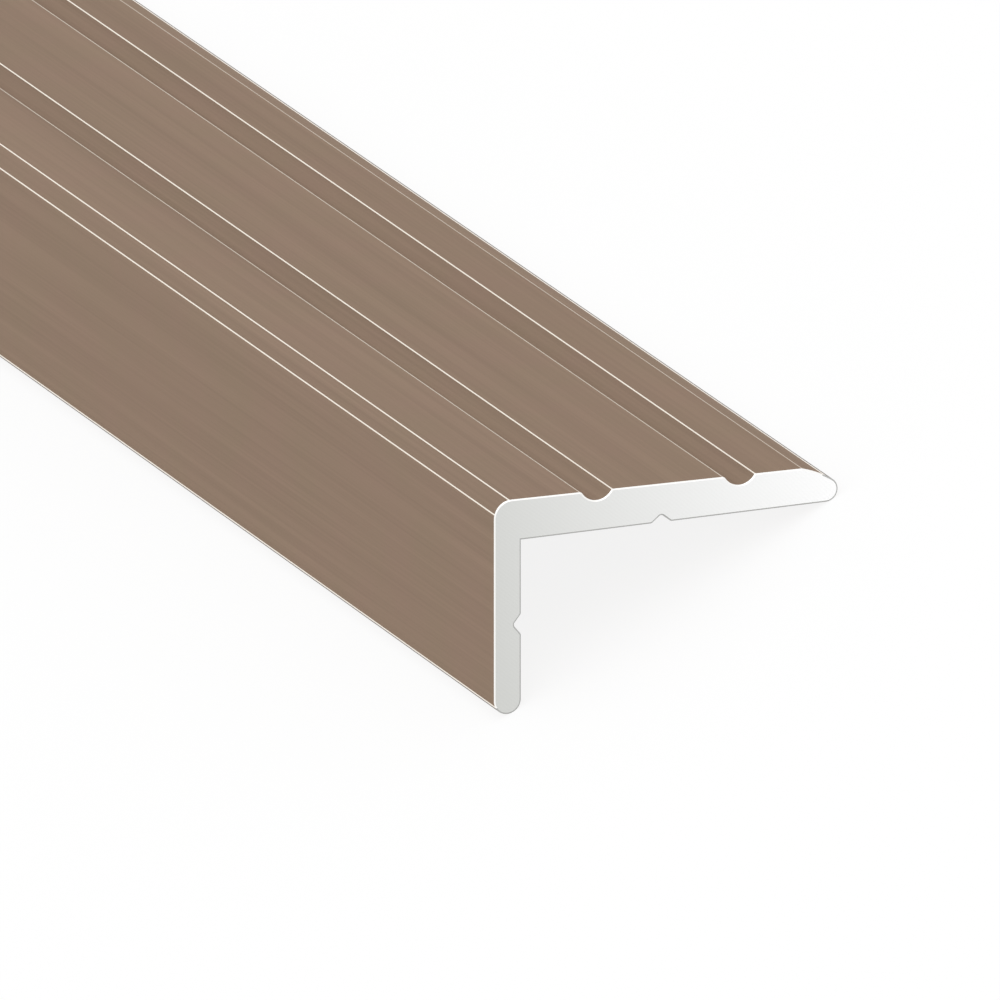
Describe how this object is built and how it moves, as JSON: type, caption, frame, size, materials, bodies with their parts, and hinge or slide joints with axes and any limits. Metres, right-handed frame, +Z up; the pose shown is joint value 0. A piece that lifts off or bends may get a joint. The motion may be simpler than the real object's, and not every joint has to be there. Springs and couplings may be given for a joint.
{
  "type": "stair nosing",
  "caption": "Extruded bronze-anodised aluminium angle that caps the front edge of a stair tread, with round-bottomed grip grooves on top and V notches for adhesive inside.",
  "frame": {"origin": "on the floor, under the middle of the piece's length and width as it lies unheld on the two long rounded edges of its legs", "axes": "+Y runs along the extrusion, away from the cut end that the picture shows; +Z up; the tread leg slopes down towards +X and the shorter riser leg stands on the -X side"},
  "size_m": [0.028, 0.9, 0.0134],
  "materials": {
    "bronze_aluminium": "satin bronze anodised, bare metal at the sawn ends"
  },
  "bodies": {
    "root": {"nosing_profile": "bronze_aluminium"}
  },
  "joints": []
}
